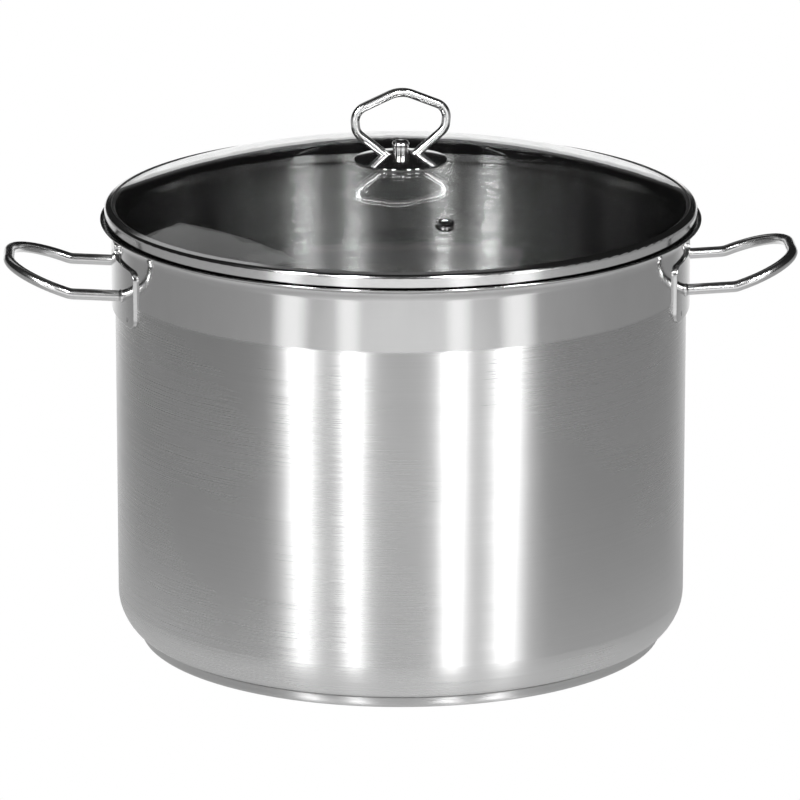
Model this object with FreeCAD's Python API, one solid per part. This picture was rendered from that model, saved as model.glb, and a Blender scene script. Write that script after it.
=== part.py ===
import FreeCAD, Part
import math
import os

# Stainless steel stock pot with a domed glass lid.
# Millimetres. +Z is up, the origin is the centre of the flat underside, and the two
# side handles stand out along +X and -X. Each piece is written to its own STEP file.

# ---- driving dimensions: pot ----
POT_INNER_RADIUS = 150.0
POT_SHEET = 0.8
POT_RIM_TOP = 227.5            # height of the flared pouring rim
RIM_REACH = 8.4                # how far the rim flares beyond the inner wall
RIM_BEND = 7.6                 # bend radius at the middle of the sheet
RIM_EDGE_ROUND = 0.3
FLOOR_UNDERSIDE = 5.8          # height of the pot's own sheet above the table
CORNER_SIDE_BEND = 23.6        # the lower corner is two tangent arcs, large then small
CORNER_FLOOR_BEND = 9.6
CORNER_FLOOR_TURN = 47.3       # degrees turned by the small arc, next to the floor

# ---- driving dimensions: heat-spreading base ----
CAPSULE_RADIUS = 139.0
CAPSULE_SHEET = 0.7
CAPSULE_TOP = 5.5
CAPSULE_BEND = 1.75

# ---- driving dimensions: side handles ----
BRACKET_SHEET = 1.8
BRACKET_BOTTOM = 181.0
BRACKET_SHOULDER = 212.3       # top of the wide part
BRACKET_TOP = 219.2            # top of the narrow tab, just under the flare
BRACKET_HALF_WIDTH = 57.0
BRACKET_TAB_HALF_WIDTH = 23.0
BRACKET_LOWER_ROUND = 6.0
BRACKET_SHOULDER_ROUND = 5.0
BRACKET_THROAT_ROUND = 5.0
BRACKET_TAB_ROUND = 1.6
BRACKET_EDGE_ROUND = 0.5
WELD_DIMPLE_RADIUS = 1.6
WELD_DIMPLE_DEPTH = 0.35
WELD_DIMPLE_INSET = 8.5        # from the bracket's side and bottom edges
HANDLE_WIRE = 5.8              # wire diameter
HANDLE_HALF_SPACING = 37.5     # from the handle's middle to each leg
HANDLE_ROOT_HEIGHT = 195.4     # leg height at the bracket
HANDLE_KNEE_X = 174.3          # where the legs turn upwards
HANDLE_ROOT_RISE = 3.0         # degrees
HANDLE_GRIP_RISE = 20.2        # degrees
HANDLE_END_X = 206.4           # middle of the wire along the grip bar
HANDLE_KNEE_BEND = 12.0
HANDLE_END_BEND = 30.0
WELD_COLLAR_GROWTH = 0.7       # the butt weld swells the wire's foot by this much
WELD_COLLAR_LENGTH = 1.2

# ---- driving dimensions: lid ----
LID_TURN = 10.0                # degrees the lid is turned on the pot
GLASS_APEX = 257.2             # top of the dome's outer face
GLASS_SPHERE = 782.0           # outer face of the flatter middle
GLASS_MIDDLE_REACH = 60.0      # radius where the middle meets the shoulder
GLASS_SHOULDER = 356.0         # meridian radius of the shoulder's outer face
GLASS_RADIUS = 154.4
GLASS_THICKNESS = 4.0
GLASS_EDGE_ROUND = 1.0
GLASS_CENTRE_HOLE = 4.0        # radius
SEAL_THICKNESS = 0.2
SEAL_REVEAL = 0.25             # seal showing beyond the ring's lip
SEAL_FOOT_RADIUS = 149.3       # the seal lines the shelf under the glass as far in as this
RING_SHEET = 0.4
RING_OUTER_RADIUS = 156.3
RING_FOOT_RADIUS = 155.8       # the outer wall leans in towards its foot
RING_FOOT = 226.85             # where wall and shelf would meet without their bend
RING_LIP_RADIUS = 152.6
RING_TOP_BEND = 2.0
RING_BOTTOM_BEND = 0.8
SKIRT_OUTER_RADIUS = 147.8
SKIRT_LEAN = 2.0               # the skirt leans in by this much, to centre the lid
SKIRT_BOTTOM = 222.2
SKIRT_BEND = 1.4

# ---- driving dimensions: steam vent, built standing on the glass ----
VENT_RADIUS_ON_LID = 104.7
VENT_HOLE = 3.3                # hole radius in the glass
VENT_SHEET = 0.6
VENT_TUBE = 2.8                # radius to the middle of the tube's wall
VENT_FLANGE = 4.75
VENT_FLANGE_RISE = 0.55
VENT_ROLLED_FOOT = 4.2
VENT_WASHER_RADIUS = 4.8
VENT_WASHER_THICKNESS = 0.6
VENT_WASHER_BORE = 3.5         # clears the bend of the eyelet's foot
VENT_WASHER_GAP = 0.06

# ---- driving dimensions: knob ----
ROSETTE_TOP = 261.2
ROSETTE_RADIUS = 24.7
ROSETTE_RISE = 3.0
ROSETTE_SHEET = 0.85
ROSETTE_EDGE_ROUND = 0.25
PAD_RADIUS = 24.1
SCREW_RADIUS = 2.0
SCREW_HOLE = 2.15
SCREW_HEAD_FOOT = 4.3
SCREW_HEAD_CROWN = 4.6
SCREW_HEAD_TOP = 268.3
SCREW_HEAD_DOME = 0.5          # how far the head's top rises to its middle
SCREW_HEAD_ROUND = 1.8
SCREW_TAIL = 246.9
SCREW_TAIL_CHAMFER = 0.5
DISC_NUT_RADIUS = 10.0
DISC_NUT_THICKNESS = 1.4
DISC_NUT_EDGE_ROUND = 0.3
GROMMET_FLANGE = 0.9
LOOP_WIRE = 4.8                # wire diameter
LOOP_CORNERS = [(9.3, 261.5), (24.0, 273.6), (25.0, 284.8)]   # foot, cheek, shoulder
LOOP_APEX = 295.3
LOOP_CORNER_BEND = 8.0
LOOP_APEX_BEND = 16.0
LOOP_FOOT_OVERRUN = 4.0

# ---- derived dimensions ----
POT_OUTER_RADIUS = POT_INNER_RADIUS + POT_SHEET
BRACKET_OUTER_RADIUS = POT_OUTER_RADIUS + BRACKET_SHEET
CORE_RADIUS = CAPSULE_RADIUS - CAPSULE_SHEET
GLASS_CENTRE = GLASS_APEX - GLASS_SPHERE
GLASS_MIDDLE_LEAN = math.asin(GLASS_MIDDLE_REACH / GLASS_SPHERE)
SHOULDER_CENTRE_RADIUS = GLASS_MIDDLE_REACH * (1 - GLASS_SHOULDER / GLASS_SPHERE)
SHOULDER_CENTRE_HEIGHT = (GLASS_CENTRE
                          + (GLASS_SPHERE - GLASS_SHOULDER) * math.cos(GLASS_MIDDLE_LEAN))
GLASS_UNDERSIDE_SPHERE = GLASS_SPHERE - GLASS_THICKNESS
GLASS_UNDERSIDE_APEX = GLASS_APEX - GLASS_THICKNESS
ROSETTE_SPHERE = (ROSETTE_RADIUS ** 2 + ROSETTE_RISE ** 2) / (2 * ROSETTE_RISE)
ROSETTE_CENTRE = ROSETTE_TOP - ROSETTE_SPHERE
DISC_NUT_TOP = GLASS_UNDERSIDE_APEX - GROMMET_FLANGE
Z_AXIS = FreeCAD.Vector(0, 0, 1)
ORIGIN = FreeCAD.Vector(0, 0, 0)


# ---- helpers ----
def at(radius, height):
    """A point of a revolved outline: its distance from the Z axis and its height."""
    return FreeCAD.Vector(radius, 0, height)


def sphere_height(centre_height, sphere_radius, radius):
    """Height of a sphere's upper face at a distance from the Z axis."""
    return centre_height + math.sqrt(sphere_radius ** 2 - radius ** 2)


def sphere_arc(centre_height, sphere_radius, start, end):
    """Meridian arc of a sphere between two distances from the Z axis."""
    radii = (start, (start + end) / 2, end)
    points = [at(r, sphere_height(centre_height, sphere_radius, r)) for r in radii]
    return Part.Arc(*points).toShape()


def rounded_path(corners, bends):
    """Edges through the corners, each inner corner rounded to its bend radius."""
    edges = []
    start = corners[0]
    for before, corner, after, bend in zip(corners, corners[1:], corners[2:], bends):
        back = (before - corner).normalize()
        ahead = (after - corner).normalize()
        half_angle = back.getAngle(ahead) / 2
        middle_line = (back + ahead).normalize()
        enter = corner + back * (bend / math.tan(half_angle))
        leave = corner + ahead * (bend / math.tan(half_angle))
        middle = corner + middle_line * (bend / math.sin(half_angle) - bend)
        if start.distanceToPoint(enter) > 1e-6:
            edges.append(Part.LineSegment(start, enter).toShape())
        edges.append(Part.Arc(enter, middle, leave).toShape())
        start = leave
    if start.distanceToPoint(corners[-1]) > 1e-6:
        edges.append(Part.LineSegment(start, corners[-1]).toShape())
    return edges


def offset_outline(corners, bends, distance):
    """The same outline moved sideways, to the left of its direction of travel."""
    directions = [(b - a).normalize() for a, b in zip(corners, corners[1:])]
    normals = [FreeCAD.Vector(-d.z, 0, d.x) for d in directions]
    moved = [corners[0] + normals[0] * distance]
    moved_bends = []
    for i, bend in enumerate(bends):
        shared = normals[i] + normals[i + 1]
        mitre = shared * (distance / (1 + normals[i].dot(normals[i + 1])))
        moved.append(corners[i + 1] + mitre)
        turns_left = directions[i].x * directions[i + 1].z > directions[i].z * directions[i + 1].x
        moved_bends.append(bend - distance if turns_left else bend + distance)
    moved.append(corners[-1] + normals[-1] * distance)
    return moved, moved_bends


def revolve(edges):
    """Solid of revolution about Z from the edges of a closed outline."""
    wire = Part.Wire(Part.__sortEdges__(edges))
    solid = Part.Face(wire).revolve(ORIGIN, Z_AXIS, 360)
    return Part.Solid(solid.Shells[0])


def line(start, end):
    return Part.LineSegment(start, end).toShape()


def halved(edges):
    """The same edges with every arc cut in two at its middle."""
    pieces = []
    for edge in edges:
        if isinstance(edge.Curve, Part.Circle):
            middle = (edge.FirstParameter + edge.LastParameter) / 2
            pieces.extend(edge.split(middle).Edges)
        else:
            pieces.append(edge)
    return pieces


def bent_sheet(corners, bends, thickness):
    """Revolved sheet metal of even thickness about the outline of its middle."""
    left, left_bends = offset_outline(corners, bends, thickness / 2)
    right, right_bends = offset_outline(corners, bends, -thickness / 2)
    edges = halved(rounded_path(left, left_bends) + rounded_path(right, right_bends))
    edges.append(line(left[-1], right[-1]))
    if corners[0].x > 0 or left[0].x > 0:
        edges.append(line(left[0], right[0]))
    else:
        edges.append(line(at(0, left[0].z), at(0, right[0].z)))
    return revolve(edges)


def ring_edges(shape, radius, low, high):
    """The circles about Z of one radius that lie between two heights."""
    found = []
    for edge in shape.Edges:
        is_circle = isinstance(edge.Curve, Part.Circle)
        if is_circle and abs(edge.Curve.Radius - radius) < 1e-3:
            if low <= edge.Curve.Center.z <= high:
                found.append(edge)
    return found


def round_bar(path_edges, diameter):
    """Round wire swept along a path of lines and tangent arcs."""
    path = Part.Wire(path_edges)
    first = path_edges[0]
    start = first.valueAt(first.FirstParameter)
    heading = first.tangentAt(first.FirstParameter)
    section = Part.Wire(Part.makeCircle(diameter / 2, start, heading))
    return Part.Solid(path.makePipeShell([section], True, False).Shells[0])


def turned_with_lid(shape):
    turned = shape.copy()
    turned.rotate(ORIGIN, Z_AXIS, LID_TURN)
    return turned


# ---- pot ----
def pot_body():
    """Deep-drawn pot: flat floor, two-arc lower corner, straight wall, flared rim."""
    wall = POT_INNER_RADIUS + POT_SHEET / 2
    floor = FLOOR_UNDERSIDE + POT_SHEET / 2
    floor_turn = math.radians(CORNER_FLOOR_TURN)
    side_turn = math.pi / 2 - floor_turn
    slope = (CORNER_FLOOR_BEND * math.tan(floor_turn / 2)
             + CORNER_SIDE_BEND * math.tan(side_turn / 2))
    slope_foot = at(wall - slope * math.cos(floor_turn), floor)
    slope_head = at(wall, floor + slope * math.sin(floor_turn))
    rim = POT_RIM_TOP - POT_SHEET / 2
    corners = [at(0, floor), slope_foot, slope_head, at(wall, rim),
               at(POT_INNER_RADIUS + RIM_REACH, rim)]
    body = bent_sheet(corners, [CORNER_FLOOR_BEND, CORNER_SIDE_BEND, RIM_BEND], POT_SHEET)
    lip = ring_edges(body, POT_INNER_RADIUS + RIM_REACH, POT_RIM_TOP - 2 * POT_SHEET, POT_RIM_TOP)
    return body.makeFillet(RIM_EDGE_ROUND, lip)


def base_capsule():
    """Shallow steel cup that wraps the aluminium core and meets the table."""
    wall = CAPSULE_RADIUS - CAPSULE_SHEET / 2
    floor = CAPSULE_SHEET / 2
    corners = [at(0, floor), at(wall, floor), at(wall, CAPSULE_TOP)]
    return bent_sheet(corners, [CAPSULE_BEND], CAPSULE_SHEET)


def base_core():
    """Aluminium disc that fills the capsule up to the pot's floor."""
    disc = Part.makeCylinder(CORE_RADIUS, FLOOR_UNDERSIDE - CAPSULE_SHEET, at(0, CAPSULE_SHEET))
    lower_edge = ring_edges(disc, CORE_RADIUS, 0, 2 * CAPSULE_SHEET)
    return disc.makeFillet(CAPSULE_BEND - CAPSULE_SHEET / 2, lower_edge)


# ---- side handles, built on the +X side ----
def bracket_outline():
    """Bracket seen square on: a wide plate with a narrow tab rising under the rim."""
    half = [(BRACKET_HALF_WIDTH, BRACKET_BOTTOM, BRACKET_LOWER_ROUND),
            (BRACKET_HALF_WIDTH, BRACKET_SHOULDER, BRACKET_SHOULDER_ROUND),
            (BRACKET_TAB_HALF_WIDTH, BRACKET_SHOULDER, BRACKET_THROAT_ROUND),
            (BRACKET_TAB_HALF_WIDTH, BRACKET_TOP, BRACKET_TAB_ROUND)]
    right = [(y, z, bend) for y, z, bend in half]
    left = [(-y, z, bend) for y, z, bend in reversed(half)]
    corners = [FreeCAD.Vector(0, y, z) for y, z, bend in right + left]
    start = FreeCAD.Vector(0, 0, BRACKET_BOTTOM)
    path = rounded_path([start] + corners + [start], [bend for y, z, bend in right + left])
    return Part.Face(Part.Wire(path))


def bracket():
    """Saddle plate that follows the pot wall, with dished spot-weld marks."""
    height = BRACKET_TOP - BRACKET_BOTTOM
    foot = at(0, BRACKET_BOTTOM)
    outer = Part.makeCylinder(BRACKET_OUTER_RADIUS, height, foot)
    shell = outer.cut(Part.makeCylinder(POT_OUTER_RADIUS, height, foot))
    shell.rotate(ORIGIN, Z_AXIS, 180)    # keeps the cylinder's seam away from the bracket
    reach = FreeCAD.Vector(BRACKET_OUTER_RADIUS + 1, 0, 0)
    plate = shell.common(bracket_outline().extrude(reach)).Solids[0]
    outer_edges = [edge for edge in plate.Edges if lies_on_radius(edge, BRACKET_OUTER_RADIUS)]
    plate = plate.makeFillet(BRACKET_EDGE_ROUND, outer_edges)
    for side in (-1, 1):
        low = (side * (BRACKET_HALF_WIDTH - WELD_DIMPLE_INSET), BRACKET_BOTTOM + WELD_DIMPLE_INSET / 2)
        high = (side * BRACKET_TAB_HALF_WIDTH / 2, BRACKET_SHOULDER)
        for y, z in (low, high):
            plate = plate.cut(weld_dimple(y, z))
    return plate.Solids[0]


def lies_on_radius(edge, radius):
    """True when an edge lies on the cylinder of that radius about Z."""
    span = edge.LastParameter - edge.FirstParameter
    points = [edge.valueAt(edge.FirstParameter + span * part) for part in (0.1, 0.5, 0.9)]
    return all(abs(math.hypot(point.x, point.y) - radius) < 1e-3 for point in points)


def weld_dimple(y, z):
    """Ball that dishes the bracket's outer face at one spot weld."""
    ball = (WELD_DIMPLE_RADIUS ** 2 + WELD_DIMPLE_DEPTH ** 2) / (2 * WELD_DIMPLE_DEPTH)
    distance = BRACKET_OUTER_RADIUS - WELD_DIMPLE_DEPTH + ball
    angle = math.asin(y / BRACKET_OUTER_RADIUS)
    centre = FreeCAD.Vector(distance * math.cos(angle), distance * math.sin(angle), z)
    return Part.makeSphere(ball, centre)


def handle_wire():
    """One bent wire: two legs from the bracket, a knee, and a rounded grip end."""
    root_x = BRACKET_OUTER_RADIUS - WELD_COLLAR_LENGTH - HANDLE_WIRE
    knee = HANDLE_ROOT_HEIGHT + (HANDLE_KNEE_X - BRACKET_OUTER_RADIUS) * math.tan(
        math.radians(HANDLE_ROOT_RISE))
    root = knee - (HANDLE_KNEE_X - root_x) * math.tan(math.radians(HANDLE_ROOT_RISE))
    end = knee + (HANDLE_END_X - HANDLE_KNEE_X) * math.tan(math.radians(HANDLE_GRIP_RISE))
    leg = [(root_x, root), (HANDLE_KNEE_X, knee), (HANDLE_END_X, end)]
    near = [FreeCAD.Vector(x, -HANDLE_HALF_SPACING, z) for x, z in leg]
    far = [FreeCAD.Vector(x, HANDLE_HALF_SPACING, z) for x, z in reversed(leg)]
    bends = [HANDLE_KNEE_BEND, HANDLE_END_BEND, HANDLE_END_BEND, HANDLE_KNEE_BEND]
    wire = round_bar(rounded_path(near + far, bends), HANDLE_WIRE)
    for side in (-1, 1):
        wire = wire.fuse(weld_collar(side * HANDLE_HALF_SPACING))
    wall = Part.makeCylinder(BRACKET_OUTER_RADIUS, POT_RIM_TOP)
    return wire.cut(wall).removeSplitter().Solids[0]


def weld_collar(y):
    """Cone of weld metal that swells a leg where it meets the bracket."""
    wall_x = math.sqrt(BRACKET_OUTER_RADIUS ** 2 - HANDLE_HALF_SPACING ** 2)
    direction = FreeCAD.Vector(math.cos(math.radians(HANDLE_ROOT_RISE)), 0,
                               math.sin(math.radians(HANDLE_ROOT_RISE)))
    foot_height = HANDLE_ROOT_HEIGHT - (BRACKET_OUTER_RADIUS - wall_x) * math.tan(
        math.radians(HANDLE_ROOT_RISE))
    reach = HANDLE_WIRE / 2
    start = FreeCAD.Vector(wall_x, y, foot_height) - direction * reach
    grown = HANDLE_WIRE / 2 + WELD_COLLAR_GROWTH
    length = reach + WELD_COLLAR_LENGTH
    straight = Part.makeCylinder(grown, reach, start, direction)
    cone = Part.makeCone(grown, HANDLE_WIRE / 2 - 0.05, WELD_COLLAR_LENGTH,
                         start + direction * reach, direction)
    core = Part.makeCylinder(HANDLE_WIRE / 2 - 0.05, length, start, direction)
    return straight.fuse([cone, core])


def on_left(shape):
    """The same piece on the -X side."""
    turned = shape.copy()
    turned.rotate(ORIGIN, Z_AXIS, 180)
    return turned


# ---- lid ----
def shoulder_lean(radius, depth=0.0):
    """Angle by which the glass's shoulder leans at a distance from the Z axis."""
    return math.asin((radius - SHOULDER_CENTRE_RADIUS) / (GLASS_SHOULDER - depth))


def shoulder_point(radius, depth=0.0):
    """Point of the glass's shoulder, at a depth below its outer face."""
    lean = shoulder_lean(radius, depth)
    return at(radius, SHOULDER_CENTRE_HEIGHT + (GLASS_SHOULDER - depth) * math.cos(lean))


def glass_face(depth):
    """Meridian of the glass at a depth below its outer face: middle, then shoulder."""
    join = (GLASS_SPHERE - depth) * math.sin(GLASS_MIDDLE_LEAN)
    middle = sphere_arc(GLASS_CENTRE, GLASS_SPHERE - depth, GLASS_CENTRE_HOLE, join)
    shoulder = Part.Arc(shoulder_point(join, depth),
                        shoulder_point((join + GLASS_RADIUS) / 2, depth),
                        shoulder_point(GLASS_RADIUS, depth)).toShape()
    return [middle, shoulder]


def lid_glass():
    """Domed tempered glass with a centre hole and a vent hole."""
    hole_top = sphere_height(GLASS_CENTRE, GLASS_SPHERE, GLASS_CENTRE_HOLE)
    hole_foot = sphere_height(GLASS_CENTRE, GLASS_UNDERSIDE_SPHERE, GLASS_CENTRE_HOLE)
    edges = glass_face(0.0) + glass_face(GLASS_THICKNESS)
    edges.append(line(shoulder_point(GLASS_RADIUS),
                      shoulder_point(GLASS_RADIUS, GLASS_THICKNESS)))
    edges.append(line(at(GLASS_CENTRE_HOLE, hole_top), at(GLASS_CENTRE_HOLE, hole_foot)))
    dome = revolve(edges)
    rims = ring_edges(dome, GLASS_RADIUS, 0, GLASS_APEX)
    dome = dome.makeFillet(GLASS_EDGE_ROUND, rims)
    drill = Part.makeCylinder(VENT_HOLE, 4 * GLASS_THICKNESS, at(0, -3 * GLASS_THICKNESS))
    return dome.cut(on_vent(drill)).Solids[0]


def on_vent(shape):
    """Stands a piece, built about +Z from the glass's outer face, at the vent's place."""
    seat = shoulder_point(VENT_RADIUS_ON_LID)
    placed = shape.copy()
    placed.rotate(ORIGIN, FreeCAD.Vector(1, 0, 0),
                  math.degrees(shoulder_lean(VENT_RADIUS_ON_LID)))
    placed.translate(FreeCAD.Vector(0, -seat.x, seat.z))
    return placed


def ring_outline():
    """Middle of the rim ring's sheet: lip, outer wall, shelf under the glass, skirt."""
    step = SEAL_THICKNESS + RING_SHEET / 2
    slope = shoulder_lean(GLASS_RADIUS)
    lip_height = shoulder_point(GLASS_RADIUS).z + step / math.cos(slope)
    skirt = SKIRT_OUTER_RADIUS - RING_SHEET / 2
    shelf = shoulder_point(skirt, GLASS_THICKNESS)
    shelf.z -= step / math.cos(shoulder_lean(skirt, GLASS_THICKNESS))

    def above(radius):
        return at(radius, lip_height - (radius - GLASS_RADIUS) * math.tan(slope))

    corners = [above(RING_LIP_RADIUS), above(RING_OUTER_RADIUS - RING_SHEET / 2),
               at(RING_FOOT_RADIUS - RING_SHEET / 2, RING_FOOT + RING_SHEET / 2),
               shelf, at(skirt - SKIRT_LEAN, SKIRT_BOTTOM)]
    return corners, [RING_TOP_BEND, RING_BOTTOM_BEND, SKIRT_BEND]


def lid_rim_ring():
    """Steel ring crimped round the glass edge, with a skirt that centres the lid."""
    corners, bends = ring_outline()
    return bent_sheet(corners, bends, RING_SHEET)


def lid_rim_seal(glass):
    """Silicone that beds the glass edge: a thin line at the lip, a dark shelf below."""
    corners, bends = ring_outline()
    lip, outer_top, outer_bottom, shelf = corners[:4]
    reveal = RING_LIP_RADIUS - SEAL_REVEAL
    along = (outer_top - lip) * ((lip.x - reveal) / (outer_top.x - lip.x))
    shelf_end = outer_bottom + (shelf - outer_bottom) * (
        (outer_bottom.x - SEAL_FOOT_RADIUS) / (outer_bottom.x - shelf.x))
    channel = [lip - along, outer_top, outer_bottom, shelf_end]
    inside, inside_bends = offset_outline(channel, bends[:2], -RING_SHEET / 2)
    edges = halved(rounded_path(inside, inside_bends))
    edges.append(line(inside[-1], inside[0]))
    return revolve(edges).cut(glass).Solids[0]


# ---- steam vent ----
def vent_eyelet():
    """Tubular eyelet: domed flange above the glass, foot rolled out below."""
    foot_height = -GLASS_THICKNESS - VENT_WASHER_GAP - VENT_WASHER_THICKNESS - VENT_SHEET / 2
    corners = [at(VENT_FLANGE, VENT_SHEET / 2), at(VENT_TUBE, VENT_SHEET / 2 + VENT_FLANGE_RISE),
               at(VENT_TUBE, foot_height), at(VENT_ROLLED_FOOT, foot_height)]
    bend = VENT_SHEET
    return on_vent(bent_sheet(corners, [bend, bend], VENT_SHEET))


def vent_washer():
    """Flat washer between the glass and the eyelet's rolled foot."""
    top = -GLASS_THICKNESS - VENT_WASHER_GAP
    blank = Part.makeCylinder(VENT_WASHER_RADIUS, VENT_WASHER_THICKNESS,
                              at(0, top - VENT_WASHER_THICKNESS))
    bore = Part.makeCylinder(VENT_WASHER_BORE, GLASS_THICKNESS, at(0, top - GLASS_THICKNESS / 2))
    return on_vent(blank.cut(bore))


# ---- knob ----
def knob_rosette():
    """Domed round plate that the wire loop is welded to."""
    inner_sphere = ROSETTE_SPHERE - ROSETTE_SHEET
    rim_top = sphere_height(ROSETTE_CENTRE, ROSETTE_SPHERE, ROSETTE_RADIUS)
    rim_bottom = sphere_height(ROSETTE_CENTRE, inner_sphere, ROSETTE_RADIUS)
    bore_top = sphere_height(ROSETTE_CENTRE, ROSETTE_SPHERE, SCREW_HOLE)
    bore_bottom = sphere_height(ROSETTE_CENTRE, inner_sphere, SCREW_HOLE)
    plate = revolve([sphere_arc(ROSETTE_CENTRE, ROSETTE_SPHERE, SCREW_HOLE, ROSETTE_RADIUS),
                     line(at(ROSETTE_RADIUS, rim_top), at(ROSETTE_RADIUS, rim_bottom)),
                     sphere_arc(ROSETTE_CENTRE, inner_sphere, ROSETTE_RADIUS, SCREW_HOLE),
                     line(at(SCREW_HOLE, bore_bottom), at(SCREW_HOLE, bore_top))])
    rims = ring_edges(plate, ROSETTE_RADIUS, rim_bottom - 1, rim_top + 1)
    return plate.makeFillet(ROSETTE_EDGE_ROUND, rims)


def knob_pad():
    """Silicone pad that fills the hollow between the rosette and the glass."""
    inner_sphere = ROSETTE_SPHERE - ROSETTE_SHEET
    outer_low = sphere_height(GLASS_CENTRE, GLASS_SPHERE, PAD_RADIUS)
    outer_high = sphere_height(ROSETTE_CENTRE, inner_sphere, PAD_RADIUS)
    bore_low = sphere_height(GLASS_CENTRE, GLASS_SPHERE, SCREW_HOLE)
    bore_high = sphere_height(ROSETTE_CENTRE, inner_sphere, SCREW_HOLE)
    return revolve([sphere_arc(ROSETTE_CENTRE, inner_sphere, SCREW_HOLE, PAD_RADIUS),
                    line(at(PAD_RADIUS, outer_high), at(PAD_RADIUS, outer_low)),
                    sphere_arc(GLASS_CENTRE, GLASS_SPHERE, PAD_RADIUS, SCREW_HOLE),
                    line(at(SCREW_HOLE, bore_low), at(SCREW_HOLE, bore_high))])


def knob_loop():
    """Six-sided wire loop, its two feet cut to the rosette's curve."""
    foot, cheek = [at(x, z) for x, z in LOOP_CORNERS[:2]]
    run = (foot - cheek).normalize()
    sunk = foot + run * LOOP_FOOT_OVERRUN
    right = [sunk] + [at(x, z) for x, z in LOOP_CORNERS[1:]]
    left = [at(-point.x, point.z) for point in reversed(right)]
    bends = [LOOP_CORNER_BEND, LOOP_CORNER_BEND, LOOP_APEX_BEND, LOOP_CORNER_BEND,
             LOOP_CORNER_BEND]
    loop = round_bar(rounded_path(right + [at(0, LOOP_APEX)] + left, bends), LOOP_WIRE)
    ball = Part.makeSphere(ROSETTE_SPHERE, at(0, ROSETTE_CENTRE))
    return loop.cut(ball).Solids[0]


def knob_screw():
    """Domed round head above the rosette and a shank that runs down through the glass."""
    seat_inner = sphere_height(ROSETTE_CENTRE, ROSETTE_SPHERE, SCREW_RADIUS)
    seat_outer = sphere_height(ROSETTE_CENTRE, ROSETTE_SPHERE, SCREW_HEAD_FOOT)
    shank = [at(0, SCREW_TAIL), at(SCREW_RADIUS - SCREW_TAIL_CHAMFER, SCREW_TAIL),
             at(SCREW_RADIUS, SCREW_TAIL + SCREW_TAIL_CHAMFER), at(SCREW_RADIUS, seat_inner)]
    head = [at(SCREW_HEAD_FOOT, seat_outer),
            at(SCREW_HEAD_CROWN, SCREW_HEAD_TOP - SCREW_HEAD_DOME), at(0, SCREW_HEAD_TOP)]
    edges = [line(a, b) for a, b in zip(shank, shank[1:])]
    edges.append(sphere_arc(ROSETTE_CENTRE, ROSETTE_SPHERE, SCREW_RADIUS, SCREW_HEAD_FOOT))
    edges += rounded_path(head, [SCREW_HEAD_ROUND])
    edges.append(line(head[-1], shank[0]))
    return revolve(edges)


def knob_grommet():
    """Shouldered silicone sleeve that keeps the screw and the nut off the glass."""
    hole_top = sphere_height(GLASS_CENTRE, GLASS_SPHERE, GLASS_CENTRE_HOLE)
    bore_top = sphere_height(GLASS_CENTRE, GLASS_SPHERE, SCREW_HOLE)
    shoulder = sphere_height(GLASS_CENTRE, GLASS_UNDERSIDE_SPHERE, GLASS_CENTRE_HOLE)
    flange_top = sphere_height(GLASS_CENTRE, GLASS_UNDERSIDE_SPHERE, DISC_NUT_RADIUS)
    return revolve([sphere_arc(GLASS_CENTRE, GLASS_SPHERE, SCREW_HOLE, GLASS_CENTRE_HOLE),
                    line(at(GLASS_CENTRE_HOLE, hole_top), at(GLASS_CENTRE_HOLE, shoulder)),
                    sphere_arc(GLASS_CENTRE, GLASS_UNDERSIDE_SPHERE, GLASS_CENTRE_HOLE,
                               DISC_NUT_RADIUS),
                    line(at(DISC_NUT_RADIUS, flange_top), at(DISC_NUT_RADIUS, DISC_NUT_TOP)),
                    line(at(DISC_NUT_RADIUS, DISC_NUT_TOP), at(SCREW_HOLE, DISC_NUT_TOP)),
                    line(at(SCREW_HOLE, DISC_NUT_TOP), at(SCREW_HOLE, bore_top))])


def knob_disc_nut():
    """Round threaded disc that clamps the knob to the glass from below."""
    foot = at(0, DISC_NUT_TOP - DISC_NUT_THICKNESS)
    disc = Part.makeCylinder(DISC_NUT_RADIUS, DISC_NUT_THICKNESS, foot)
    rims = ring_edges(disc, DISC_NUT_RADIUS, foot.z, DISC_NUT_TOP)
    disc = disc.makeFillet(DISC_NUT_EDGE_ROUND, rims)
    return disc.cut(Part.makeCylinder(SCREW_RADIUS, DISC_NUT_THICKNESS, foot))


# ---- all pieces ----
def pot_pieces():
    right_bracket = bracket()
    right_wire = handle_wire()
    return {"pot_body": pot_body(),
            "base_core": base_core(),
            "base_capsule": base_capsule(),
            "handle_bracket_right": right_bracket,
            "handle_bracket_left": on_left(right_bracket),
            "handle_wire_right": right_wire,
            "handle_wire_left": on_left(right_wire)}


def lid_pieces():
    glass = lid_glass()
    pieces = {"lid_glass": glass,
              "lid_rim_ring": lid_rim_ring(),
              "lid_rim_seal": lid_rim_seal(glass),
              "vent_eyelet": vent_eyelet(),
              "vent_washer": vent_washer(),
              "knob_rosette": knob_rosette(),
              "knob_pad": knob_pad(),
              "knob_loop": knob_loop(),
              "knob_screw": knob_screw(),
              "knob_grommet": knob_grommet(),
              "knob_disc_nut": knob_disc_nut()}
    return {name: turned_with_lid(shape) for name, shape in pieces.items()}


os.makedirs("parts", exist_ok=True)
for name, shape in {**pot_pieces(), **lid_pieces()}.items():
    shape.exportStep(f"parts/{name}.step")
    box = shape.BoundBox
    print(f"{name:22s} valid={shape.isValid()} solids={len(shape.Solids)} "
          f"volume={shape.Volume / 1000:9.3f} cm3 "
          f"x {box.XMin:7.1f} {box.XMax:6.1f}  z {box.ZMin:6.1f} {box.ZMax:6.1f}")
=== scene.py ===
import math

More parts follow.
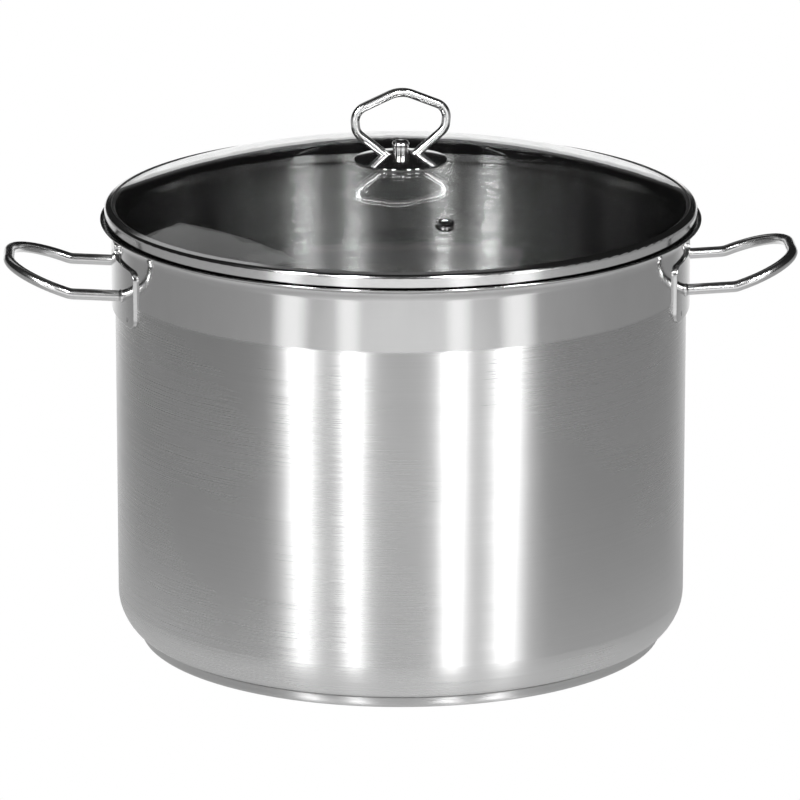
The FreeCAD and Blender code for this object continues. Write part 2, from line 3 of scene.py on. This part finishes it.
import bpy
from mathutils import Euler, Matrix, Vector


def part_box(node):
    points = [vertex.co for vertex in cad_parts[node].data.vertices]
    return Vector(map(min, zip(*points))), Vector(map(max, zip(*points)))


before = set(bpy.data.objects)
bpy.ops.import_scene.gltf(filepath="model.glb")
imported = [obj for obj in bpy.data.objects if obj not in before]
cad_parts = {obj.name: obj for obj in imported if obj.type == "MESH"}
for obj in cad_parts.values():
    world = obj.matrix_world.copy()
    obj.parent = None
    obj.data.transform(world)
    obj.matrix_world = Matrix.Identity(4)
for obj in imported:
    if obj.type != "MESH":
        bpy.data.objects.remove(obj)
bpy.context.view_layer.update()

# ---- view and studio, in metres and degrees ----
CAMERA_PLACE = (-0.15176, -3.47584, 1.09076)
CAMERA_PITCH = 15.49
CAMERA_TURN = -2.5
CAMERA_LENS = 306.0
CAMERA_SHIFT_X = -0.00095
FLOOR_HALF_WIDTH = 30.0
LIGHT_DISTANCE = 1.7
# Softboxes round the object: azimuth and width in degrees, radiance, and the heights of
# their foot and top in metres. Azimuth 0 is the -Y side. Each strip is a pale lower part
# and a narrower, brighter lamp above it. A tier gives its share of the strip's width,
# radiance, foot and top.
STRIPS = [(-43, 9.0), (-21.5, 7.5), (18.5, 8.0), (41, 9.5)]
STRIP_TIERS = [(1.0, 1.4, 0.02, 0.7), (0.68, 56.0, 0.8, 1.8)]
FRONT_FILL = (0, 110, 0.5, 0.02, 0.35)
# Raised panels behind the object, which the glass mirrors: azimuth from +Y, elevation,
# width and height in degrees, radiance.
PANELS = [(-25, 39, 16, 22, 0.45), (0, 56, 26, 20, 0.12)]
# Pools of light under the softboxes: emission, the distances over which they begin, and the
# shares of a softbox's width at which a pool starts to fade and has faded.
POOL_GLOW = 1.1
POOL_START = (0.4, 0.6)
POOL_SPREAD = (0.15, 1.3)
# The floor's other glow in reflections, each as a distance from, a distance to, and the glow
# at both: round the object, in the wedge behind it, and round a point in front of it.
NEAR_GLOW = (0.15, 0.4, 0.52, 0.25)
REAR_GLOW = (-0.75, 0.5, 0.25, 1.0)
FRONT_GLOW = (0.2, 0.8, 0.7, 0.25)
FRONT_GLOW_DISTANCE = 0.8
FLOOR_GREY = 0.1
FLOOR_ROUGHNESS = 0.9
BAND_FOOT = 0.193              # height where the satin band under the rim starts
FLAT_FACE_RADIUS = 0.13        # the pot's flat floor ends about here
RING_CORNER_SHADE = (0.2261, 0.1495)   # painted shade: the ring's corner under the glass, above and within these, is painted near black


# ---- node helpers ----
class Graph:
    """Short calls for building a node tree."""

    def __init__(self, tree):
        self.tree = tree
        self.tree.nodes.clear()

    def node(self, kind, inputs=None, **settings):
        made = self.tree.nodes.new(kind)
        for name, value in settings.items():
            setattr(made, name, value)
        for name, value in (inputs or {}).items():
            socket = made.inputs[name]
            if isinstance(value, bpy.types.NodeSocket):
                self.tree.links.new(value, socket)
            else:
                socket.default_value = value
        return made

    def math(self, operation, a, b=0.0, clamp=False):
        return self.node("ShaderNodeMath", {0: a, 1: b}, operation=operation,
                         use_clamp=clamp).outputs[0]

    def ramp(self, value, low, high, to_low=0.0, to_high=1.0):
        return self.node("ShaderNodeMapRange",
                         {"Value": value, "From Min": low, "From Max": high,
                          "To Min": to_low, "To Max": to_high},
                         interpolation_type="SMOOTHSTEP").outputs["Result"]

    def mix_colour(self, factor, a, b):
        made = self.node("ShaderNodeMix", data_type="RGBA")
        for name, value in ((0, factor), (6, a), (7, b)):
            if isinstance(value, bpy.types.NodeSocket):
                self.tree.links.new(value, made.inputs[name])
            else:
                made.inputs[name].default_value = value
        return made.outputs[2]

    def noise(self, vector, scale, detail=3.0, roughness=0.55):
        return self.node("ShaderNodeTexNoise",
                         {"Vector": vector, "Scale": scale, "Detail": detail,
                          "Roughness": roughness}).outputs["Fac"]

    def scaled(self, vector, scale):
        return self.node("ShaderNodeMapping", {"Vector": vector, "Scale": scale}).outputs[0]


def new_graph(name):
    material = bpy.data.materials.new(name)
    material.use_nodes = True
    return material, Graph(material.node_tree)


def grey(value, warm=0.0):
    return (value * (1 + warm), value, value * (1 - warm), 1.0)


# ---- materials ----
def turned_grain(g, along, across):
    """Coordinates whose noise runs round the Z axis: long along the turn, fine across it.

    Across the lines they follow the radius on flat faces near the axis, and height elsewhere.
    """
    position = g.node("ShaderNodeTexCoord").outputs["Object"]
    axes = g.node("ShaderNodeSeparateXYZ", {"Vector": position}).outputs
    radius = g.node("ShaderNodeVectorMath",
                    {0: g.scaled(position, (1, 1, 0))}, operation="LENGTH").outputs["Value"]
    spread = g.math("MINIMUM", radius, FLAT_FACE_RADIUS)
    climb = g.math("MULTIPLY", g.math("ADD", axes["Z"], spread), across)
    return g.node("ShaderNodeCombineXYZ",
                  {"X": g.math("MULTIPLY", axes["X"], along),
                   "Y": g.math("MULTIPLY", axes["Y"], along), "Z": climb}).outputs[0]


def brushed_steel(name, colour, rough, lift, wander, band_foot=None):
    """Steel brushed round the Z axis, with a polished band outside the pot below its rim.

    Each brushed line tips the surface a little up or down (lift) and round (wander). Inside
    the pot, the wall is painted much darker for light that has already bounced off steel or
    glass, a painted shade on the interior.
    """
    material, g = new_graph(name)
    position = g.node("ShaderNodeTexCoord").outputs["Object"]
    fine = g.noise(turned_grain(g, 4.0, 2600.0), 1.0, 4.0, 0.65)
    coarse = g.noise(turned_grain(g, 3.0, 320.0), 1.0, 3.0)
    lines = g.noise(turned_grain(g, 3.0, 1500.0), 1.0, 3.0, 0.7)
    cloud = g.noise(position, 9.0, 2.0)
    grain = g.math("ADD", g.math("MULTIPLY", fine, 0.8), g.math("MULTIPLY", coarse, 0.2))
    roughness = g.ramp(grain, 0.3, 0.7, rough * 0.95, rough * 1.05)
    roughness = g.math("ADD", roughness, g.ramp(cloud, 0.35, 0.65, -0.015, 0.015))
    tint = g.mix_colour(g.ramp(grain, 0.25, 0.75), grey(colour * 0.97), grey(colour * 1.02))
    tip = g.math("MULTIPLY", g.math("SUBTRACT", lines, 0.5), lift)
    turn = g.math("MULTIPLY", g.math("SUBTRACT", fine, 0.5), wander)
    if band_foot is not None:
        height = g.node("ShaderNodeSeparateXYZ", {"Vector": position}).outputs["Z"]
        facing = g.node("ShaderNodeNewGeometry").outputs["Normal"]
        radial = g.node("ShaderNodeVectorMath", {0: g.scaled(position, (1, 1, 0))},
                        operation="NORMALIZE").outputs[0]
        outward = g.node("ShaderNodeVectorMath", {0: facing, 1: radial},
                         operation="DOT_PRODUCT").outputs["Value"]
        upward = g.node("ShaderNodeSeparateXYZ", {"Vector": facing}).outputs["Z"]
        outside = g.math("GREATER_THAN", outward, upward)
        band = g.math("MULTIPLY", g.ramp(height, band_foot - 0.0008, band_foot + 0.0008), outside)
        roughness = g.math("MULTIPLY", roughness, g.ramp(outside, 0, 1, 0.75, 1.0))
        tip = g.math("MULTIPLY", tip, g.ramp(outside, 0, 1, 6.0, 1.0))
        turn = g.math("MULTIPLY", turn, g.ramp(outside, 0, 1, 1.2, 1.0))
        inside = g.mix_colour(g.ramp(grain, 0.25, 0.75), grey(0.55), grey(0.75))
        # painted shade: the inside wall turns near black for light that has already bounced
        depth = g.node("ShaderNodeLightPath").outputs["Glossy Depth"]
        inside = g.mix_colour(g.math("GREATER_THAN", depth, 0.5), inside, grey(0.04))
        tint = g.mix_colour(outside, inside, tint)
    tangent = g.node("ShaderNodeTangent", direction_type="RADIAL", axis="Z").outputs[0]
    normal = g.node("ShaderNodeNewGeometry").outputs["Normal"]
    upright = g.node("ShaderNodeCombineXYZ", {"Z": tip}).outputs[0]
    round_turn = g.node("ShaderNodeVectorMath", {0: tangent, "Scale": turn},
                        operation="SCALE").outputs[0]
    for lean in (upright, round_turn):
        normal = g.node("ShaderNodeVectorMath", {0: normal, 1: lean}, operation="ADD").outputs[0]
    normal = g.node("ShaderNodeVectorMath", {0: normal}, operation="NORMALIZE").outputs[0]
    shader = g.node("ShaderNodeBsdfPrincipled",
                    {"Base Color": tint, "Metallic": 1.0, "Roughness": roughness,
                     "Anisotropic": 1.0, "Anisotropic Rotation": 0.25,
                     "Normal": normal, "Tangent": tangent})
    if band_foot is not None:
        mottle = g.noise(g.scaled(position, (1, 1, 0.3)), 60.0, 3.0)
        satin = g.node("ShaderNodeBsdfPrincipled",
                       {"Base Color": g.mix_colour(mottle, grey(0.56), grey(0.64)),
                        "Metallic": 1.0, "Roughness": g.ramp(fine, 0.3, 0.7, 0.1, 0.14),
                        "Anisotropic": 0.6, "Anisotropic Rotation": 0.25, "Tangent": tangent})
        shader = g.node("ShaderNodeMixShader", {0: band, 1: shader.outputs[0],
                                                2: satin.outputs[0]})
    g.node("ShaderNodeOutputMaterial", {"Surface": shader.outputs[0]})
    return material


def polished_steel(name, colour, rough, ripple=0.000001, corner_shade=None):
    """Steel polished near to a mirror, with faint buffing marks and a slight ripple.

    The last argument is a height and a radius: the steel above and within them is painted near
    black, a painted shade in the ring's corner under the glass.
    """
    material, g = new_graph(name)
    position = g.node("ShaderNodeTexCoord").outputs["Object"]
    marks = g.noise(g.scaled(position, (300, 300, 1500)), 1.0, 4.0, 0.6)
    waves = g.noise(position, 60.0, 1.0)
    roughness = g.ramp(marks, 0.3, 0.7, rough * 0.95, rough * 1.05)
    tint = g.mix_colour(g.ramp(marks, 0.3, 0.7), grey(colour * 0.97), grey(colour * 1.02))
    bump = g.node("ShaderNodeBump", {"Strength": 1.0, "Distance": ripple, "Height": waves})
    # painted shade: near-black colour in the ring's corner under the glass
    if corner_shade is not None:
        foot, reach = corner_shade
        height = g.node("ShaderNodeSeparateXYZ", {"Vector": position}).outputs["Z"]
        radius = g.node("ShaderNodeVectorMath", {0: g.scaled(position, (1, 1, 0))},
                        operation="LENGTH").outputs["Value"]
        shaded_corner = g.math("MULTIPLY", g.ramp(height, foot - 0.0002, foot + 0.0002),
                         g.math("LESS_THAN", radius, reach))
        tint = g.mix_colour(shaded_corner, tint, grey(0.012))
    shader = g.node("ShaderNodeBsdfPrincipled",
                    {"Base Color": tint, "Metallic": 1.0, "Roughness": roughness,
                     "Normal": bump.outputs[0]})
    g.node("ShaderNodeOutputMaterial", {"Surface": shader.outputs[0]})
    return material


def clear_glass(name):
    """Tempered glass with a faint cool tint and the slight smear of handling."""
    material, g = new_graph(name)
    position = g.node("ShaderNodeTexCoord").outputs["Object"]
    smear = g.noise(position, 14.0, 3.0)
    roughness = g.ramp(smear, 0.45, 0.8, 0.0, 0.02)
    shader = g.node("ShaderNodeBsdfPrincipled",
                    {"Base Color": (0.975, 0.985, 0.98, 1.0), "Roughness": roughness,
                     "IOR": 1.52, "Transmission Weight": 1.0})
    shadow = g.node("ShaderNodeLightPath").outputs["Is Shadow Ray"]
    through = g.node("ShaderNodeBsdfTransparent", {"Color": grey(0.9)})
    shader = g.node("ShaderNodeMixShader", {0: shadow, 1: shader.outputs[0],
                                            2: through.outputs[0]})
    g.node("ShaderNodeOutputMaterial", {"Surface": shader.outputs[0]})
    return material


def silicone(name, colour):
    """Matt silicone rubber with a fine moulded skin."""
    material, g = new_graph(name)
    position = g.node("ShaderNodeTexCoord").outputs["Object"]
    skin = g.noise(position, 1800.0, 3.0)
    tint = g.mix_colour(skin, grey(colour * 0.85), grey(colour * 1.15))
    bump = g.node("ShaderNodeBump", {"Strength": 0.5, "Distance": 0.00003, "Height": skin})
    shader = g.node("ShaderNodeBsdfPrincipled",
                    {"Base Color": tint, "Roughness": g.ramp(skin, 0.3, 0.7, 0.5, 0.62),
                     "Normal": bump.outputs[0]})
    g.node("ShaderNodeOutputMaterial", {"Surface": shader.outputs[0]})
    return material


def rearward(g, vector):
    """Positive in a wedge about +Y, behind the object, and negative outside it."""
    axes = g.node("ShaderNodeSeparateXYZ", {"Vector": vector}).outputs
    sideways = g.math("MULTIPLY", g.math("ABSOLUTE", axes["X"]), 1.8)
    return g.math("SUBTRACT", axes["Y"], sideways)


def light_pools(g, position, away):
    """Painted pools of light on the floor, one under each softbox, seen in the polished band."""
    axes = g.node("ShaderNodeSeparateXYZ", {"Vector": position}).outputs
    turn = g.math("ARCTAN2", axes["X"], g.math("MULTIPLY", axes["Y"], -1.0))
    start = g.ramp(away, *POOL_START)
    pools = 0.0
    for azimuth, width in STRIPS:
        off = g.math("ABSOLUTE", g.math("SUBTRACT", turn, math.radians(azimuth)))
        core, edge = (math.radians(width * share) for share in POOL_SPREAD)
        pool = g.math("MULTIPLY", g.ramp(off, core, edge, 1.0, 0.0), start)
        pools = g.math("MAXIMUM", pools, g.math("MULTIPLY", pool, POOL_GLOW))
    return pools


def plain_floor(name):
    """Studio floor: plain white to look at, with patches of glow seen only in reflections."""
    material, g = new_graph(name)
    rays = g.node("ShaderNodeLightPath").outputs
    seen = g.math("MAXIMUM", rays["Is Camera Ray"], rays["Is Transmission Ray"])
    pale = g.node("ShaderNodeEmission", {"Color": grey(1.0), "Strength": 1.0})
    position = g.node("ShaderNodeTexCoord").outputs["Object"]
    away = g.node("ShaderNodeVectorMath", {0: position}, operation="LENGTH").outputs["Value"]
    behind = rearward(g, position)
    shifted = g.node("ShaderNodeVectorMath", {0: position, 1: (0, FRONT_GLOW_DISTANCE, 0)},
                     operation="ADD")
    ahead = g.node("ShaderNodeVectorMath", {0: shifted.outputs[0]},
                   operation="LENGTH").outputs["Value"]
    glow = g.math("MAXIMUM", g.ramp(away, *NEAR_GLOW), g.ramp(behind, *REAR_GLOW))
    glow = g.math("MAXIMUM", glow, g.ramp(ahead, *FRONT_GLOW))
    glow = g.math("MAXIMUM", glow, light_pools(g, position, away))
    lit = g.node("ShaderNodeBsdfPrincipled",
                 {"Base Color": grey(FLOOR_GREY), "Roughness": FLOOR_ROUGHNESS,
                  "Emission Color": grey(1.0), "Emission Strength": glow})
    shader = g.node("ShaderNodeMixShader", {0: seen, 1: lit.outputs[0], 2: pale.outputs[0]})
    g.node("ShaderNodeOutputMaterial", {"Surface": shader.outputs[0]})
    return material


def paint(node, material):
    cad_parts[node].material_slots[0].material = material


# ---- studio ----
def make_camera():
    data = bpy.data.cameras.new("camera")
    data.lens = CAMERA_LENS
    data.shift_x = CAMERA_SHIFT_X
    data.clip_end = 200.0
    camera = bpy.data.objects.new("camera", data)
    camera.location = CAMERA_PLACE
    camera.rotation_euler = Euler((math.radians(90 - CAMERA_PITCH), 0, math.radians(CAMERA_TURN)))
    bpy.context.scene.collection.objects.link(camera)
    bpy.context.scene.camera = camera


def make_floor():
    mesh = bpy.data.meshes.new("floor")
    w = FLOOR_HALF_WIDTH
    mesh.from_pydata([(-w, -w, 0), (w, -w, 0), (w, w, 0), (-w, w, 0)], [], [(0, 1, 2, 3)])
    floor = bpy.data.objects.new("floor", mesh)
    mesh.materials.append(plain_floor("floor_white"))
    bpy.context.scene.collection.objects.link(floor)


def make_lamp(name, place, target, width, height, radiance):
    """Soft rectangular lamp that faces a point, unseen by the camera itself."""
    data = bpy.data.lights.new(name, "AREA")
    data.shape = "RECTANGLE"
    data.size = width
    data.size_y = height
    data.energy = radiance * math.pi * width * height
    lamp = bpy.data.objects.new(name, data)
    lamp.location = place
    lamp.rotation_euler = (Vector(target) - Vector(place)).to_track_quat("-Z", "Y").to_euler()
    lamp.visible_camera = False
    bpy.context.scene.collection.objects.link(lamp)


def make_strip(name, azimuth, width_deg, radiance, foot, top):
    """Upright softbox at an azimuth from the -Y side, facing the object."""
    turn = math.radians(azimuth)
    middle = (foot + top) / 2
    place = (math.sin(turn) * LIGHT_DISTANCE, -math.cos(turn) * LIGHT_DISTANCE, middle)
    width = 2 * LIGHT_DISTANCE * math.tan(math.radians(width_deg / 2))
    make_lamp(name, place, (0, 0, middle), width, top - foot, radiance)


def make_panel(name, azimuth, elevation, width_deg, height_deg, radiance):
    """Raised soft panel behind the object, placed by its direction from the lid."""
    turn, rise = math.radians(azimuth), math.radians(elevation)
    lid = Vector((0, 0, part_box("lid_glass")[1][2]))
    away = Vector((math.sin(turn) * math.cos(rise), math.cos(turn) * math.cos(rise),
                   math.sin(rise)))
    width, height = (2 * LIGHT_DISTANCE * math.tan(math.radians(size / 2))
                     for size in (width_deg, height_deg))
    make_lamp(name, lid + away * LIGHT_DISTANCE, lid, width, height, radiance)


def make_world():
    """White to look at; in reflections, white low behind, else grey fading to dark overhead.

    It is black to light that has both passed through the lid and bounced.
    """
    world = bpy.data.worlds.new("studio")
    world.use_nodes = True
    g = Graph(world.node_tree)
    direction = g.node("ShaderNodeTexCoord").outputs["Generated"]
    height = g.node("ShaderNodeSeparateXYZ", {"Vector": direction}).outputs["Z"]
    low = g.math("MULTIPLY", g.ramp(rearward(g, direction), 0.0, 0.3),
                 g.ramp(height, 0.045, 0.06, 1.0, 0.0))
    dim = g.mix_colour(g.ramp(height, 0.0, 0.12), grey(0.3), grey(0.012))
    dim = g.mix_colour(low, dim, grey(1.0))
    rays = g.node("ShaderNodeLightPath").outputs
    inside = g.math("MULTIPLY", g.math("GREATER_THAN", rays["Transmission Depth"], 0.5),
                    g.math("GREATER_THAN", rays["Glossy Depth"], 0.5))
    dim = g.mix_colour(inside, dim, grey(0.0))
    colour = g.mix_colour(rays["Is Camera Ray"], dim, grey(1.0))
    background = g.node("ShaderNodeBackground", {"Color": colour, "Strength": 1.0})
    g.node("ShaderNodeOutputWorld", {"Surface": background.outputs[0]})
    bpy.context.scene.world = world


def make_studio():
    scene = bpy.context.scene
    scene.view_settings.view_transform = "Standard"
    make_camera()
    make_floor()
    make_world()
    for azimuth, width in STRIPS:
        for narrowing, radiance, foot, top in STRIP_TIERS:
            make_strip("strip", azimuth, width * narrowing, radiance, foot, top)
    make_strip("fill", *FRONT_FILL)
    for panel in PANELS:
        make_panel("panel", *panel)


# ---- finishes ----
def finish_object():
    pot = brushed_steel("pot_brushed", 0.62, 0.28, 0.06, 0.05, BAND_FOOT)
    capsule = brushed_steel("capsule_brushed", 0.52, 0.3, 0.2, 0.05)
    wire = polished_steel("wire_polished", 0.7, 0.2, 0.0)
    bracket = polished_steel("bracket_polished", 0.58, 0.14)
    ring = polished_steel("ring_polished", 0.7, 0.13, 0.000002, RING_CORNER_SHADE)
    rosette = polished_steel("rosette_mirror", 0.62, 0.12)
    fitting = polished_steel("fitting_polished", 0.66, 0.13)
    rubber = silicone("rubber_dark", 0.03)
    sleeve = silicone("sleeve_clear", 0.35)
    core = polished_steel("core_aluminium_satin", 0.6, 0.35)
    finishes = {"pot_body": pot, "base_capsule": capsule, "base_core": core,
                "handle_wire_left": wire, "handle_wire_right": wire,
                "handle_bracket_left": bracket, "handle_bracket_right": bracket,
                "lid_glass": clear_glass("glass_clear"), "lid_rim_ring": ring,
                "lid_rim_seal": rubber, "knob_pad": rubber, "knob_grommet": sleeve,
                "knob_rosette": rosette, "knob_loop": wire, "knob_screw": fitting,
                "knob_disc_nut": fitting, "vent_eyelet": fitting, "vent_washer": fitting}
    for node, material in finishes.items():
        paint(node, material)


make_studio()
finish_object()
